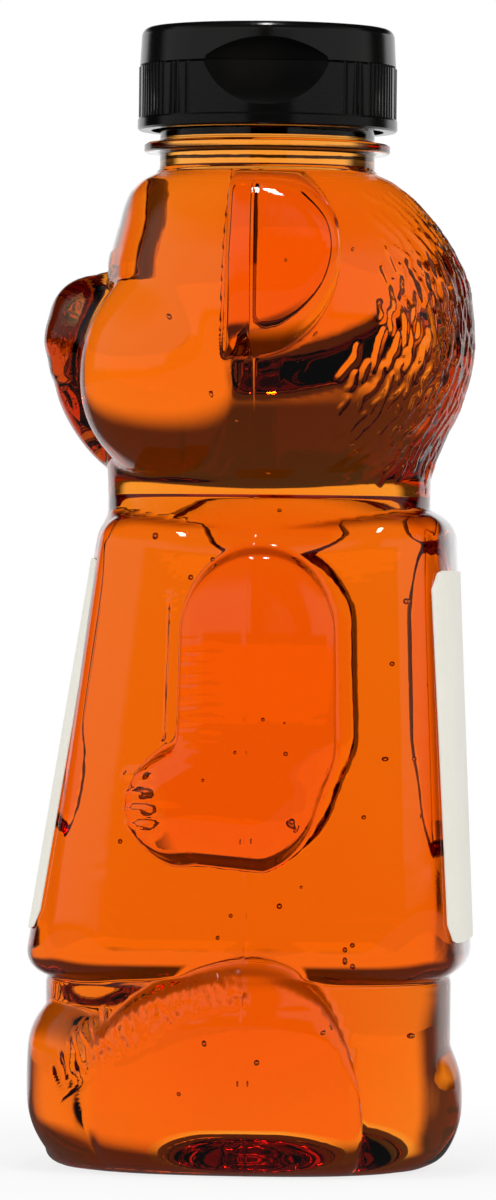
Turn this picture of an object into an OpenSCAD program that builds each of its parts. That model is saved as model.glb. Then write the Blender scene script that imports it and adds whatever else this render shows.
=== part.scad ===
// Squeeze bottle for honey in the shape of a seated bear, blow moulded in clear plastic,
// with a flip-top screw cap. The bear faces -Y, its left side is +X, and +Z is up.
// The origin is on the neck's axis, in the plane that the bottle stands on.
// All lengths are in millimetres.

/* [Seat and legs] */
// Height of the seat and legs, up to the groove under the torso
legs_h = 31; // [27:0.5:35]
// Width of the seat between the thighs' outlines
seat_w = 54.4; // [50:0.2:58]
// Reach of the lap in front of the neck's axis
seat_front = 34.2; // [30:0.2:37]
// Reach of the seat behind the neck's axis
seat_back = 31.2; // [28:0.2:33]
// Width over both thighs
thigh_w = 65; // [62:0.2:70]
// Reach of the feet in front of the neck's axis
foot_front = 37.2; // [35:0.2:40]
// Distance between the middles of the feet
foot_gap = 29.5; // [26:0.5:33]
// Reach of the tail behind the neck's axis
tail_back = 33.3; // [31.5:0.1:36]
// Height of the hollow pushed up into the base
base_hollow = 2.4; // [1.5:0.1:4]

/* [Torso and arms] */
// Height of the torso, from the groove to the top of the shoulders
torso_h = 74.5; // [66:0.5:84]
// Width of the torso at its bottom
torso_w = 59.4; // [56:0.2:62]
// Width of the torso at the shoulders
shoulder_w = 54.4; // [51:0.2:58]
// Reach of the front panel at its bottom
belly_front = 37.6; // [34:0.2:40]
// Reach of the front panel at the shoulders
chest_front = 25.6; // [24:0.2:30]
// Reach of the back panel at its bottom
rump_back = 34.3; // [31:0.2:37]
// Reach of the back panel at the shoulders
shoulder_back = 31; // [28:0.2:33]
// Width over both arms at the paws
arm_w = 68.4; // [66:0.2:74]
// Radius of the upper arm, seen from the side
arm_r = 15.2; // [13.5:0.1:16]
// Radius of the paw, seen from the side
paw_r = 10; // [8.5:0.1:10.5]
// Reach of the paws in front of the neck's axis
paw_front = 21.8; // [19:0.1:23]
// Height of the paws' middle above the groove
paw_z = 28.3; // [26:0.1:31]
// Height of the throat, from the shoulders to the chin
throat_h = 6.5; // [5:0.5:10]
// Width of the throat
throat_w = 44.4; // [41:0.2:49]

/* [Head] */
// Height of the head, from the chin to the foot of the neck
head_h = 49.3; // [44:0.1:56]
// Width of the head at its widest
head_w = 57; // [54:0.2:60]
// Reach of the face in front of the neck's axis
face_front = 26; // [24.5:0.1:28]
// Reach of the back of the head behind the neck's axis
head_back = 33.8; // [31:0.1:36]
// Width over both ears
ear_w = 69.2; // [66:0.2:75]
// Height of each ear
ear_h = 31; // [28:0.2:32]
// Radius of each ear's lower edge, seen from the side
ear_r = 23.6; // [21:0.2:26]
// Width of the snout
snout_w = 20; // [17:0.2:24]
// Reach of the snout in front of the neck's axis
snout_front = 35.6; // [33:0.1:38]
// Reach of the nose in front of the neck's axis
nose_front = 36.1; // [34:0.1:40]

/* [Neck] */
// Least thickness of the bottle's wall
wall = 0.5; // [0.3:0.1:1]
// Outside diameter of the neck
neck_d = 34.9; // [34:0.1:36]
// Thickness of the neck's wall
neck_wall = 1.55; // [1.4:0.05:2.2]
// Height of the neck, from the head to its lip
neck_h = 15; // [14:0.1:17]
// Diameter of the bead under the cap
bead_d = 40; // [38:0.2:42]
// Thickness of the bead
bead_h = 1.5; // [1:0.1:2]

/* [Honey] */
// Depth of the empty space between the honey and the lip
headspace = 6; // [5:0.5:8]
// Gap that is drawn between the honey and the wall
honey_gap = 0.2; // [0.1:0.05:0.5]

/* [Cap] */
// Diameter of the cap's skirt
cap_d = 42.2; // [41.6:0.1:44]
// Height of the cap's skirt, up to the line where the lid parts
skirt_h = 10.5; // [9.5:0.1:11.5]
// Diameter inside the skirt, which clears the neck's thread
skirt_bore_d = 37.8; // [37.6:0.1:38.4]
// Thickness of the cap's deck over the neck
deck_t = 1.5; // [1.2:0.1:2]
// Number of ribs that a full turn of the skirt would hold
ribs = 120; // [90:6:150]
// How far each rib stands out
rib_t = 0.35; // [0.2:0.05:0.4]
// Width of the plain panel that holds the thumb recess
panel_w = 24.4; // [23:0.2:28]
// Height of the plain band at the foot of the skirt
band_h = 2; // [1:0.1:3]
// Height of the lid
lid_h = 6.1; // [5.6:0.1:8]
// Thickness of the lid's wall
lid_wall = 1.4; // [1:0.1:1.8]
// Thickness of the lid's top
lid_top = 1.5; // [1.2:0.1:2]
// Radius of the lid's rounded top edge
lid_round = 1.5; // [0.8:0.1:2]
// Diameter of the pouring hole
orifice_d = 6.4; // [5:0.1:8]
// Height of the spout above the deck
spout_h = 2.1; // [1.5:0.1:2.5]
// Depth of the thumb recess where the lid parts from the skirt
thumb_depth = 2.8; // [2:0.1:3]
// Reach of the thumb recess below the parting line
thumb_low = 7.5; // [5:0.1:8]
// Reach of the thumb recess above the parting line
thumb_up = 3.6; // [3:0.1:4.6]
// Width of the flat that the hinge lies on
hinge_w = 12; // [10:0.5:14]
// Width of the living hinge
strap_w = 9; // [6:0.5:9.5]
// Thickness of the living hinge
strap_t = 0.5; // [0.4:0.05:0.7]
// Height of the living hinge
strap_h = 5; // [4:0.5:7]
// Turn of the closed cap about the neck, from the bear's left towards its back
cap_turn = 3.5; // [-20:0.5:20]
// Thickness of the foil seal under the cap
seal_t = 0.8; // [0.4:0.1:1.2]

/* [Labels] */
// Width of each label
label_w = 44; // [30:0.5:46]
// Height of each label
label_h = 59.5; // [45:0.5:62]
// Height of the front label's lower edge above the groove
front_label_z = 8; // [6:0.5:10]
// Height of the back label's lower edge above the groove
back_label_z = 6.5; // [6:0.5:10]
// Thickness of each label
label_t = 0.15; // [0.1:0.05:0.3]

/* [Hidden] */
$fn = 96;
running = 0.2; // clearance round the plug pin
neck_gap = 0.3; // clearance between the cap's bore and the neck
parting = 0.1; // slit between the closed lid and the skirt
thread_start = 1.2; // distance of the thread below the lip
label_gap = 0.12; // film of glue under a label
seal_inset = 0.1; // how far the seal stays inside the neck's outside
torso_power = 4.5; // squareness of the torso's section
lid_taper = 0.25; // how far the lid narrows towards its top
hinge_h = 6.5; // height of the flat that the hinge lies on

// Mesh of the bear's skin: columns round the neck's axis, and rows in each section
cols = 84;
gather = 0.2;
rows_legs = 10;
rows_torso = 23;
rows_head = 19;

// Heights of the bear's sections above the ground
torso_z = legs_h;
shoulder_z = torso_z + torso_h;
chin_z = shoulder_z + throat_h;
neck_z = chin_z + head_h;
lip_z = neck_z + neck_h;
bead_z = neck_z + 3.2;

// Heights of the cap's parts
seal_z = lip_z;
deck_z = seal_z + seal_t;
split_z = deck_z + deck_t;
skirt_z = split_z - skirt_h;
lid_z = split_z + parting;
top_z = lid_z + lid_h;

// Radii of the neck and the cap
neck_r = neck_d / 2;
bore_r = neck_r - neck_wall;
bead_r = bead_d / 2;
cap_r = cap_d / 2;
rib_r = cap_r - 0.15;
skirt_in_r = skirt_bore_d / 2;
hinge_x = sqrt(pow(rib_r, 2) - pow(hinge_w / 2, 2));
lid_r = cap_r - 0.3;
orifice_r = orifice_d / 2;

// Rounding and blending of numbers

function clamp(t) = min(max(t, 0), 1);
function ease(t) = let(u = clamp(t)) u * u * (3 - 2 * u);

// The larger of two radii, with a fillet of about k where they cross
function fillet(a, b, k) = let(h = clamp(0.5 + 0.5 * (a - b) / k)) b + (a - b) * h + k * h * (1 - h);

// How far a rounded edge sets back at a height e inside it, for an edge across by high
function edge_in(e, across, high) = across * (1 - sqrt(1 - pow(1 - clamp(e / high), 2)));

// 0 outside an outline and 1 inside it, over a soft shoulder, for a signed distance d
function raised(d, shoulder) = ease(-d / shoulder);

// A smooth curve through hand-set points, without overshoot
function rise(p, i) = (p[i + 1][1] - p[i][1]) / (p[i + 1][0] - p[i][0]);
function tangent(p, i) =
    i == 0 ? rise(p, 0) :
    i == len(p) - 1 ? rise(p, i - 1) :
    rise(p, i - 1) * rise(p, i) > 0 ? 2 / (1 / rise(p, i - 1) + 1 / rise(p, i)) : 0;
function span(p, x, i = 0) = i >= len(p) - 2 || x < p[i + 1][0] ? i : span(p, x, i + 1);
function curve(p, x) =
    let(v = min(max(x, p[0][0]), p[len(p) - 1][0]), i = span(p, v))
    let(w = p[i + 1][0] - p[i][0], t = (v - p[i][0]) / w)
    pow(1 - t, 2) * ((1 + 2 * t) * p[i][1] + t * w * tangent(p, i))
    + t * t * ((3 - 2 * t) * p[i + 1][1] + (t - 1) * w * tangent(p, i + 1));

// Forms that the bear is blown in, each as a radius about the neck's axis at the angle a.
// Angles run from the bear's left, +X, towards its back, +Y.

// A rounded section with its half width and its reach to the front and the back
function section(a, half, front, back, n) =
    pow(pow(abs(cos(a)) / half, n) + pow(abs(sin(a)) / (sin(a) < 0 ? front : back), n), -1 / n);

// A rounded lump on both sides, at c, with its half sizes across, front to back, up and down
function lump(a, z, c, s, n) =
    let(k = pow(clamp(1 - pow(abs(z - c[2]) / (z > c[2] ? s[2] : s[3]), n)), 1 / n))
    let(u = abs(cos(a)), v = sin(a))
    let(qa = pow(u / s[0], 2) + pow(v / s[1], 2), qb = u * c[0] / pow(s[0], 2) + v * c[1] / pow(s[1], 2))
    let(qc = pow(c[0] / s[0], 2) + pow(c[1] / s[1], 2) - k * k, d = qb * qb - qa * qc)
    k > 0 && d > 0 ? (qb + sqrt(d)) / qa : 0;

// Signed distance from the outline of a tapered bar, in side view
function bar(y, z, a, b, ra, rb) =
    let(d = b - a, t = clamp(((y - a[0]) * d[0] + (z - a[1]) * d[1]) / (d * d)))
    norm([y, z] - a - t * d) - (ra + (rb - ra) * t);

// Radius r brought out to a flat side at a distance across, as far as the weight w
function side(r, across, w, a) = r + max(across / max(abs(cos(a)), 0.3) - r, 0) * w;
function side_y(across, a) = across * sin(a) / max(abs(cos(a)), 0.3);

// The head's outline from chin to neck, as shares of its height and of each reach
face_curve = [[-0.16, 0.54], [0, 0.946], [0.14, 0.985], [0.39, 1], [0.69, 0.973], [0.81, 0.923],
              [0.91, 0.869], [0.965, 0.792], [1, 0.677]];
nape_curve = [[-0.16, 0.47], [0, 0.775], [0.14, 0.87], [0.24, 0.94], [0.43, 1], [0.61, 0.979],
              [0.77, 0.879], [0.89, 0.743], [0.965, 0.627], [1, 0.521]];
temple_curve = [[-0.16, 0.43], [0, 0.74], [0.12, 0.78], [0.28, 0.897], [0.39, 0.957], [0.53, 1],
                [0.69, 0.98], [0.81, 0.917], [0.91, 0.813], [0.965, 0.713], [1, 0.587]];

// The rounding of the base, from the ring that it stands on up to the feet and the tail
base_in = 11.5;
base_round = 11;
function base_r(a, z) =
    let(out = base_in * sqrt(1 - pow(1 - clamp(z / base_round), 2)) + max(z - base_round, 0))
    section(a, seat_w / 2 - 2.9 + out, foot_front - 9.7 + out, tail_back - 9.7 + out, 2.2);

function legs_r(a, z) =
    let(set = edge_in(torso_z + 1 - z, 1.2, 2))
    z < torso_z + 1 ? section(a, seat_w / 2 - set, seat_front - set, seat_back - set, 3.4) : 0;

function torso_r(a, z) =
    let(t = (z - torso_z) / torso_h, top = shoulder_z + 1.2 - 3.2 * pow(abs(cos(a)), 3))
    let(set = edge_in(z - torso_z, 6, 5) + edge_in(top - z, 5, 4.5))
    z >= torso_z && z < top ?
        section(a, (torso_w + (shoulder_w - torso_w) * t) / 2 - set,
                belly_front + (chest_front - belly_front) * t - set,
                rump_back + (shoulder_back - rump_back) * t - set, torso_power) : 0;

function waist_r(a, z) =
    section(a, seat_w / 2 - 3.4, seat_front - 3.2, seat_back - 3.4, 3.4) - 0.3 * max(z - torso_z - 9, 0);

function throat_r(a, z) =
    section(a, throat_w / 2, face_front - 0.8, head_back * 0.8, 2.5)
    - 0.6 * max(abs(z - shoulder_z - throat_h / 2 + 0.8) - 6, 0);

function head_r(a, z) =
    let(t = (z - chin_z) / head_h)
    section(a, head_w / 2 * curve(temple_curve, t), face_front * curve(face_curve, t),
            head_back * curve(nape_curve, t), 2.3);

// The arm in side view: an upper arm that hangs and a forearm that points forward
arm_y = 1.8;
arm_top = 19.2;
arm_low = 35.5;
elbow_r = 14;
elbow_y = -0.2;
elbow_drop = 43.2;
arm_edge = 6;
arm_face = [[-57, -0.5], [-35, -0.9], [-21, -1], [-13, -1.8], [-4, -4.5]];
function arm_d(y, z) =
    min(bar(y, z, [arm_y, shoulder_z - arm_top], [arm_y, shoulder_z - arm_low], arm_r - 0.3, arm_r),
        bar(y, z, [paw_r - paw_front, torso_z + paw_z], [elbow_y, shoulder_z - elbow_drop], paw_r, elbow_r));
function with_arm(r, a, z) =
    let(across = arm_w / 2 + curve(arm_face, z - shoulder_z) + 0.5)
    abs(cos(a)) > 0.4 ? side(r, across, raised(arm_d(side_y(across, a), z), arm_edge), a) : r;

// The thigh in side view: a broad arch, steep behind and sloping down to the foot in front
thigh_z = 6;
thigh_up = 1.8;
thigh_back = 23.4;
thigh_front = 44.5;
thigh_edge = 8;
thigh_reach = 37;
thigh_face = [[-31, -3.7], [-23, -2.2], [-14, -0.8], [-5, 0.2], [0, 0], [5, -1.6]];
function arch(y, z) =
    let(n = y < 0 ? 1.6 : 2.3, h = abs(z - thigh_z) / (legs_h - thigh_up))
    pow(pow(abs(y) / (y < 0 ? thigh_front : thigh_back), n) + pow(h, n), 1 / n) - 1;
function with_thigh(r, a, z) =
    let(face = thigh_w / 2 + curve(thigh_face, z - torso_z), y = side_y(face, a))
    let(across = face - edge_in(y + thigh_reach, 9, 15))
    abs(cos(a)) > 0.4 ? side(r, across, raised(arch(y, z) * thigh_back, thigh_edge), a) : r;

// The ear: a lobe that stands out of the head, with a face to the front that is rounded at its
// edge. From the side its lower edge is a large round, and its upper edge an oval.
ear_mid = 33.2;
lobe_in = 15;
ear_front = 5.4;
front_edge = 3.6;
ear_edge = 5.5;
oval_y = 2;
oval_l = 21.5;
oval_h = 17.7;
round_y = 3.8;
round_up = 8.2;
function ear_d(y, h) =
    max(norm([y + round_y, h - round_up]) - ear_r,
        (pow(pow(abs(y + oval_y) / oval_l, 2.2) + pow(abs(h) / oval_h, 2.2), 1 / 2.2) - 1) * oval_h);
function with_ear(r, a, z) =
    let(h = z - chin_z - ear_mid, lobe = pow(clamp(1 - pow(abs(2 * h / ear_h), 2.6)), 1 / 2.6))
    let(across = ear_w / 2 - lobe_in * (1 - lobe), y = side_y(across, a))
    abs(cos(a)) > 0.4 && lobe > 0 ?
        side(r, across, raised(ear_d(y, h), ear_edge) * ease((y + ear_front) / front_edge), a) : r;

// The face: cheeks, snout, chin and nose
function with_face(r, a, z) =
    let(cheek = lump(a, z, [12.5, -14, chin_z + 14.5], [12.5, 15, 17, 16], 2.2))
    let(snout = lump(a, z, [0, -24, chin_z + 21.9], [snout_w / 2, snout_front - 24, 11, 11], 2.2))
    let(lip = lump(a, z, [0, -24, chin_z + 14.5], [snout_w / 2 - 1.5, snout_front - 25.4, 8, 14], 1.4))
    let(nose = lump(a, z, [0, -31, chin_z + 22], [6, nose_front - 31, 6, 5], 2))
    fillet(fillet(fillet(fillet(r, cheek, 5), snout, 2.5), lip, 0.8), nose, 0.8);

function with_feet(r, a, z) =
    let(foot = lump(a, z, [foot_gap / 2, -24.6, 16], [13, foot_front - 24.6, 11.6, 14.6], 2.8))
    let(tail = lump(a, z, [0, 25.5, 11.6], [9.5, tail_back - 25.5, 9.8, 10.5], 2.3))
    fillet(fillet(r, foot, 3), tail, 2);

// The whole skin of the bear
function body_r(a, z) =
    fillet(fillet(max(fillet(legs_r(a, z), torso_r(a, z), 0.8), waist_r(a, z)), throat_r(a, z), 4.5),
           head_r(a, z), 1.5);
function limbs_r(a, z) =
    with_face(with_ear(with_feet(with_thigh(with_arm(body_r(a, z), a, z), a, z), a, z), a, z), a, z);
function skin_r(a, z) =
    z < base_round + 10 ? -fillet(-limbs_r(a, z), -base_r(a, z), 2) : limbs_r(a, z);

// Heights of the skin's rows, closer together at the groove and under the neck
skin_z = concat([0, 0.8], [for (i = [1:rows_legs - 1]) 0.8 + (legs_h - 1.8) * i / rows_legs],
                [torso_z - 1, torso_z, torso_z + 0.8],
                [for (i = [0:rows_torso - 1]) torso_z + 2.4 + (torso_h + throat_h - 3.4) * i / rows_torso],
                [for (i = [0:rows_head - 1]) chin_z - 0.8 + (head_h - 0.8) * i / rows_head],
                [neck_z - 0.6, neck_z]);
last = len(skin_z) - 1;

// The angle of a column. They stand closer together at the sides, where the limbs' edges are.
function column(j, count) = let(u = j * 360 / count) u - gather * 90 / PI * sin(2 * u);

function skin_grid() = [for (z = skin_z) [for (j = [0:cols - 1]) skin_r(column(j, cols), z)]];

// Rings inside the skin, every second row and every so many columns. Each point is drawn in to
// the narrowest place nearby and by the distance t, so that they lie inside the skin all over.
function inner_rings(skin, t, every) =
    let(floor_z = base_hollow + t, first = [for (i = [4:2:last]) if (skin_z[i] > floor_z + 1.5) i][0])
    let(low = inner_radii(skin, first, t, every))
    concat([ring([for (r = low) r - 2], floor_z)],
           [for (i = [first:2:last - 2]) ring(inner_radii(skin, i, t, every), skin_z[i])]);
function inner_radii(skin, i, t, every) =
    [for (j = [0:every:cols - 1])
        min([for (m = [-1:1]) for (k = [-every:every]) skin[i + m][(j + k + cols) % cols]]) - t];

function ring(radii, z) =
    [for (j = [0:len(radii) - 1]) let(a = column(j, len(radii))) [radii[j] * cos(a), radii[j] * sin(a), z]];
function circle_ring(r, z, count) = ring([for (j = [1:count]) r], z);

// A closed solid from a stack of rings of equal length, with a flat face at each end
module stacked(rings) {
    n = len(rings[0]);
    m = len(rings);
    points = [for (r = rings) for (p = r) p];
    walls = [for (i = [0:m - 2]) for (j = [0:n - 1]) let(k = (j + 1) % n)
        each [[i * n + j, (i + 1) * n + j, (i + 1) * n + k], [i * n + j, (i + 1) * n + k, i * n + k]]];
    ends = [[for (j = [0:n - 1]) j], [for (j = [n - 1:-1:0]) (m - 1) * n + j]];
    polyhedron(points, concat(walls, ends), convexity = 10);
}

// What each piece is made of
clear_plastic = [0.95, 0.93, 0.88, 0.35];
amber = [0.95, 0.5, 0.05];
black_plastic = [0.07, 0.07, 0.07];

// The bear, blown as one shell, with its neck finish
module bottle() {
    skin = skin_grid();
    outer = [for (i = [0:last]) ring(skin[i], skin_z[i])];
    inner = inner_rings(skin, wall, 2);
    color(clear_plastic) difference() {
        union() {
            stacked(outer);
            rotate_extrude() neck_profile();
        }
        stacked(concat(inner, [circle_ring(bore_r - wall, neck_z - 1, cols / 2)]));
        translate([0, 0, neck_z - 3]) cylinder(r = bore_r, h = neck_h + 4);
        base_dome();
    }
}

// The hollow pushed up into the base, so that the bottle stands on a ring
module base_dome() {
    rim_r = 17;
    dome_r = (rim_r * rim_r + base_hollow * base_hollow) / (2 * base_hollow);
    translate([0, 0, base_hollow - dome_r]) sphere(r = dome_r, $fn = 192);
}

// Half section of the neck, with its rounded lip and the bead under the cap
module neck_profile() {
    foot = neck_z - 1.5;
    inside = bore_r - 0.5;
    polygon([[inside, foot], [neck_r, foot], [neck_r, bead_z], [bead_r - 0.3, bead_z], [bead_r, bead_z + 0.3],
             [bead_r, bead_z + bead_h - 0.3], [bead_r - 0.3, bead_z + bead_h], [neck_r, bead_z + bead_h],
             [neck_r, lip_z - 0.4], [neck_r - 0.4, lip_z], [inside, lip_z]]);
}

// The honey, which fills the bear and most of the neck
module honey() {
    skin = skin_grid();
    inner = inner_rings(skin, wall + honey_gap, 3);
    r = bore_r - honey_gap;
    color(amber) stacked(concat(inner, [circle_ring(r, neck_z - 1, cols / 3)],
                                [circle_ring(r, lip_z - headspace, cols / 3)]));
}

// The foil-faced disc between the bottle's lip and the cap's deck
module seal_liner() {
    color("silver") translate([0, 0, seal_z]) cylinder(r = neck_r - seal_inset, h = seal_t);
}

// The cap turns as one about the neck. Its own +X points to the thumb recess.
module in_cap() {
    rotate([0, 0, cap_turn]) children();
}

// Everything beyond the flat that the hinge lies on, set back by a distance in
module beyond_hinge(z, h, in = 0) {
    translate([in - hinge_x - cap_d, -cap_r, z]) cube([cap_d, cap_d, h]);
}

// The screw cap: a fluted skirt under a deck with the pouring spout
module cap_base() {
    color(black_plastic) in_cap() difference() {
        union() {
            rotate_extrude() polygon([[0, skirt_z], [cap_r - 0.3, skirt_z], [cap_r, skirt_z + 0.3],
                                      [cap_r, skirt_z + band_h - 0.3], [rib_r, skirt_z + band_h],
                                      [rib_r, split_z - 0.3], [rib_r - 0.3, split_z], [0, split_z]]);
            spout();
        }
        translate([0, 0, skirt_z - 1]) cylinder(r = skirt_in_r, h = lip_z - thread_start - skirt_z + 1);
        translate([0, 0, skirt_z]) cylinder(r = neck_r + neck_gap, h = deck_z - skirt_z);
        translate([0, 0, deck_z - 1]) cylinder(r = orifice_r, h = deck_t + spout_h + 2);
        flutes();
        thumb_scoop();
        beyond_hinge(split_z - hinge_h, hinge_h + 1);
    }
}

// The spout stands on the deck, a short cone with a rounded lip
module spout() {
    foot = orifice_r + 3.4;
    rotate_extrude() polygon([[0, split_z - deck_t / 2], [foot, split_z - deck_t / 2], [foot, split_z],
                              [foot - 0.8, split_z + 0.4], [orifice_r + 1.5, split_z + spout_h - 0.3],
                              [orifice_r + 1.2, split_z + spout_h], [0, split_z + spout_h]]);
}

// Hollow flutes between the skirt's ribs, on both sides of two plain panels
module flutes() {
    step = 360 / ribs;
    flute_r = rib_r * step * PI / 360 - 0.12;
    first = asin(panel_w / 2 / rib_r) + step / 2;
    count = floor((180 - 2 * first) / step);
    for (side = [0, 180], i = [0:count])
        rotate([0, 0, side + 90 + (i - count / 2) * step])
            translate([rib_r + flute_r - rib_t, 0, skirt_z + band_h])
                cylinder(r = flute_r, h = skirt_h, $fn = 16);
}

// The lower half of the thumb recess, deepest where the lid parts from the skirt
module thumb_scoop() {
    sweep_r = 24;
    low = [cap_r, split_z - thumb_low];
    high = [cap_r - thumb_depth, split_z];
    chord = high - low;
    back = sqrt(sweep_r * sweep_r - chord * chord / 4) / norm(chord);
    mid = (low + high) / 2 + back * [chord[1], -chord[0]];
    translate([mid[0], 0, mid[1]]) rotate([90, 0, 0]) cylinder(r = sweep_r, h = cap_d, center = true);
}

// The upper half of the thumb recess, an arch in the lid's wall, grown by a margin
module thumb_arch(margin) {
    half = sqrt(cap_r * cap_r - pow(cap_r - thumb_depth, 2));
    arch_r = (half * half + thumb_up * thumb_up) / (2 * thumb_up);
    translate([cap_r - thumb_depth - margin, 0, lid_z + thumb_up - arch_r])
        rotate([0, 90, 0]) cylinder(r = arch_r + margin, h = cap_r);
}

// The lid, with its rounded top edge and the pin that plugs the spout
module flip_lid() {
    color(black_plastic) in_cap() {
        difference() {
            edge = [for (a = [0:15:90])
                [lid_r - lid_taper - lid_round * (1 - cos(a)), top_z - lid_round * (1 - sin(a))]];
            rotate_extrude() polygon(concat([[0, lid_z], [lid_r, lid_z]], edge, [[0, top_z]]));
            difference() {
                translate([0, 0, lid_z - 1]) cylinder(r = lid_r - lid_wall, h = lid_h - lid_top + 1);
                thumb_arch(lid_wall);
                beyond_hinge(lid_z - 2, lid_h + 2, lid_wall);
            }
            thumb_arch(0);
            beyond_hinge(lid_z - 1, lid_h + 2);
        }
        plug_pin();
    }
}

// The pin reaches into the spout and is tapered, so that it swings out freely
module plug_pin() {
    tip_z = split_z + spout_h - 1.6;
    pin_r = orifice_r - running;
    rotate_extrude() polygon([[0, tip_z], [pin_r - 0.6, tip_z], [pin_r, split_z + spout_h],
                              [pin_r, top_z - lid_top / 2], [0, top_z - lid_top / 2]]);
}

// The living hinge: a strap across the parting line, thinned where it bends
module hinge_strap() {
    color(black_plastic) in_cap() difference() {
        translate([-hinge_x - strap_t, -strap_w / 2, split_z - strap_h / 2])
            cube([strap_t, strap_w, strap_h]);
        for (x = [-hinge_x - strap_t, -hinge_x])
            translate([x, 0, (split_z + lid_z) / 2]) rotate([90, 0, 0])
                cylinder(r = strap_t / 3, h = hinge_w, center = true);
    }
}

// A film label on a panel of the torso, from its lower edge, with rounded corners. The panel's
// reach from the neck's axis runs from reach_low at the groove to reach_high at the shoulders.
module label(low_z, reach_low, reach_high) {
    corner = 3;
    heights = [0, 0.4, corner, label_h / 2, label_h - corner, label_h - 0.4, label_h];
    steps = 16;
    rings = [for (h = heights)
        let(z = low_z + h, t = (z - torso_z) / torso_h, half = (torso_w + (shoulder_w - torso_w) * t) / 2)
        let(reach = reach_low + (reach_high - reach_low) * t)
        let(edge = label_w / 2 - edge_in(min(h, label_h - h), corner, corner))
        let(x = [for (i = [0:steps]) edge * sin(180 * i / steps - 90)])
        let(y = [for (v = x) -reach * pow(1 - pow(abs(v) / half, torso_power), 1 / torso_power) - label_gap])
        concat([for (i = [0:steps]) [x[i], y[i] - label_t, z]], [for (i = [steps:-1:0]) [x[i], y[i], z]])];
    stacked(rings);
}

module front_label() {
    color("ivory") label(torso_z + front_label_z, belly_front, chest_front);
}

module back_label() {
    color("ivory") rotate([0, 0, 180]) label(torso_z + back_label_z, rump_back, shoulder_back);
}

bottle();
honey();
seal_liner();
cap_base();
flip_lid();
hinge_strap();
front_label();
back_label();
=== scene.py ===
import bpy
import math
import numpy as np
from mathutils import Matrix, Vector


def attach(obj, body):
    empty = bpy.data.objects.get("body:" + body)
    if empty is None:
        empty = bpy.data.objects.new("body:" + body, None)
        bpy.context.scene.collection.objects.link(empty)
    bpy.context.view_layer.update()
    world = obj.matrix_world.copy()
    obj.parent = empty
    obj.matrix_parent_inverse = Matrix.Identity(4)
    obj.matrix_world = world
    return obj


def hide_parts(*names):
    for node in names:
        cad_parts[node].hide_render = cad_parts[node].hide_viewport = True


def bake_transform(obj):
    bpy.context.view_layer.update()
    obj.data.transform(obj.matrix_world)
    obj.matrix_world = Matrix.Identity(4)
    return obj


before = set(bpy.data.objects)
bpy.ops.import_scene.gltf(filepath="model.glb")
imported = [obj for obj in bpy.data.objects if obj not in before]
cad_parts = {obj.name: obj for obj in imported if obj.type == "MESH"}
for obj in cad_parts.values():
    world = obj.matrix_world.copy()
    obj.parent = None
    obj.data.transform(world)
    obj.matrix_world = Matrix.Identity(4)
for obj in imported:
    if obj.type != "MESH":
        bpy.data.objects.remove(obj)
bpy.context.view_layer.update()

# The bottle is a seated bear, blown as one thin shell of clear plastic in a two-part mould.
# Its form is a radius about the neck's axis for every angle and height, in millimetres, with
# angles that run from the bear's left side, +X, towards its back, +Y.
legs_h, torso_h, throat_h, head_h = 31.0, 74.5, 6.5, 49.3
torso_z = legs_h
shoulder_z = torso_z + torso_h
chin_z = shoulder_z + throat_h
neck_z = chin_z + head_h
seat_half, lap_front, seat_back = 27.2, 34.2, 31.2
torso_half, shoulder_half = 29.7, 27.2
belly_front, chest_front, rump_back, shoulder_back = 37.6, 25.6, 34.3, 31.0
head_half, face_front, head_back = 28.5, 26.0, 33.8
arm_half, thigh_half, ear_half = 34.5, 32.5, 34.45
foot_front, tail_back, snout_front, nose_front = 37.2, 33.3, 35.6, 36.1


def clamp(t, low=0.0, high=1.0):
    return np.minimum(np.maximum(t, low), high)


def ease(t):
    t = clamp(t)
    return t * t * (3 - 2 * t)


def fillet(a, b, k):
    """The larger of two radii, with a fillet of about k where they cross."""
    h = clamp(0.5 + 0.5 * (a - b) / k)
    return b + (a - b) * h + k * h * (1 - h)


def edge_in(e, across, high):
    """How far a rounded edge sets back at a height e inside it."""
    return across * (1 - np.sqrt(1 - (1 - clamp(e / high)) ** 2))


def curve(points, x):
    """A smooth curve through given points, without overshoot."""
    px, py = np.array(points, float).T
    h, rise = np.diff(px), np.diff(py) / np.diff(px)
    tangent = np.concatenate([[rise[0]], np.zeros(len(px) - 2), [rise[-1]]])
    same_way = rise[:-1] * rise[1:] > 0
    tangent[1:-1][same_way] = 2 / (1 / rise[:-1][same_way] + 1 / rise[1:][same_way])
    x = clamp(x, px[0], px[-1])
    i = np.clip(np.searchsorted(px, x, side="right") - 1, 0, len(px) - 2)
    t = (x - px[i]) / h[i]
    return ((1 - t) ** 2 * ((1 + 2 * t) * py[i] + t * h[i] * tangent[i])
            + t * t * ((3 - 2 * t) * py[i + 1] + (t - 1) * h[i] * tangent[i + 1]))


def section(a, half, front, back, power):
    """A rounded section with its half width and its reach to the front and the back."""
    reach = np.where(np.sin(a) < 0, front, back)
    return ((np.abs(np.cos(a)) / half) ** power + (np.abs(np.sin(a)) / reach) ** power) ** (-1 / power)


def lump(a, z, centre, across, deep, up, down, power):
    """A rounded lump on both sides, as a radius about the axis, or 0 where it isn't."""
    dz = z - centre[2]
    k = clamp(1 - np.abs(dz / np.where(dz > 0, up, down)) ** power) ** (1 / power)
    u, v = np.abs(np.cos(a)), np.sin(a)
    qa = (u / across) ** 2 + (v / deep) ** 2
    qb = u * centre[0] / across ** 2 + v * centre[1] / deep ** 2
    qc = (centre[0] / across) ** 2 + (centre[1] / deep) ** 2 - k * k
    d = qb * qb - qa * qc
    return np.where((k > 0) & (d > 0), (qb + np.sqrt(np.maximum(d, 0))) / qa, 0.0)


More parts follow.
